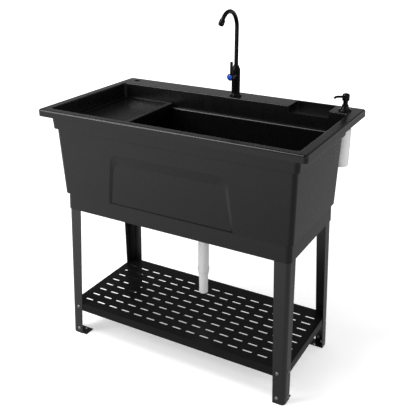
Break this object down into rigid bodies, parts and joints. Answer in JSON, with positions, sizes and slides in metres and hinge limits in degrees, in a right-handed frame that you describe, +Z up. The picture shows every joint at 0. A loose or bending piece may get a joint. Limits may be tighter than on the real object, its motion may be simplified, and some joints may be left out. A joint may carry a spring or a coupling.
{
  "type": "utility laundry sink",
  "caption": "Freestanding utility sink: moulded tub on splayed steel legs, sliding drain tray, gooseneck tap, soap dispenser, strainer drain and slotted lower shelf.",
  "frame": {"origin": "on the floor, under the middle of the rim", "axes": "+X to the right along the front, +Y to the back where the tap stands, +Z up"},
  "size_m": [0.93, 0.53, 1.164],
  "materials": {
    "tub": "satin, lightly textured moulded plastic, black",
    "tray": "satin moulded plastic, black",
    "leg": "satin black powder coat",
    "shelf": "satin black powder coat",
    "foot": "satin black powder coat",
    "bolt": "zinc-plated steel screws",
    "tap": "smooth black lacquer",
    "brass": "plain brass, below the deck",
    "index": "glossy blue",
    "steel": "satin stainless steel",
    "drain_plastic": "white moulded plastic",
    "seal": "black rubber",
    "dispenser": "semi-gloss black",
    "bottle": "milky white plastic",
    "clear_tube": "milky plastic tube"
  },
  "bodies": {
    "sink": {"basin_tub": "tub", "drain_body": "steel", "pump_spring": "steel", "drain_gasket": "seal", "tailpiece_washer": "seal", "slip_joint_washer": "seal", "tap_washer": "seal", "drain_lock_nut": "drain_plastic", "tailpiece_nut": "drain_plastic", "drain_tailpiece": "drain_plastic", "slip_joint_nut": "drain_plastic", "lower_drain_pipe": "drain_plastic", "leg_front_left": "leg", "leg_front_right": "leg", "leg_back_left": "leg", "leg_back_right": "leg", "foot_bracket_front_left": "foot", "foot_bracket_front_right": "foot", "foot_bracket_back_left": "foot", "foot_bracket_back_right": "foot", "shelf_panel": "shelf", "shelf_bolts": "bolt", "shelf_nuts": "bolt", "foot_bolts": "bolt", "foot_nuts": "bolt", "tap_base_flange": "tap", "tap_body": "tap", "spout_collar": "tap", "tap_shank": "brass", "tap_lock_nut": "brass", "tap_cartridge": "brass", "dispenser_flange": "dispenser", "dispenser_shank": "dispenser", "dispenser_nut": "dispenser", "dispenser_bottle": "bottle", "dispenser_dip_tube": "clear_tube"},
    "spout": {"spout_tube": "tap", "spout_aerator": "tap"},
    "handle": {"handle_spindle": "brass", "handle_hub": "tap", "handle_lever": "tap", "handle_index_cap": "index"},
    "pump": {"pump_stem": "dispenser"},
    "pump_cap": {"pump_head": "dispenser"},
    "tray": {"sliding_drain_tray": "tray"},
    "strainer": {"strainer_basket": "steel", "strainer_stopper": "seal"}
  },
  "joints": [
    {"name": "tray_slide", "type": "slide", "parent": "sink", "child": "tray", "axis": [1, 0, 0], "range_m": [0, 0.638]},
    {"name": "strainer_lift", "type": "slide", "parent": "sink", "child": "strainer", "axis": [0, 0, 1], "range_m": [0, 0.012]},
    {"name": "spout_swivel", "type": "hinge", "parent": "sink", "child": "spout", "pos_m": [0.016, 0.207, 0.957], "axis": [0, 0, 1], "continuous": true},
    {"name": "handle_turn", "type": "hinge", "parent": "sink", "child": "handle", "pos_m": [0.016, 0.178, 0.94], "axis": [0, -1, 0], "range_deg": [0, 90]},
    {"name": "pump_press", "type": "slide", "parent": "sink", "child": "pump", "axis": [0, 0, -1], "range_m": [0, 0.013], "stiffness_N_per_m": 180, "springref_m": -0.012, "deforming": ["pump_spring"]},
    {"name": "pump_head_swivel", "type": "hinge", "parent": "pump", "child": "pump_cap", "pos_m": [0.409, 0.211, 0.9], "axis": [0, 0, 1], "continuous": true}
  ]
}
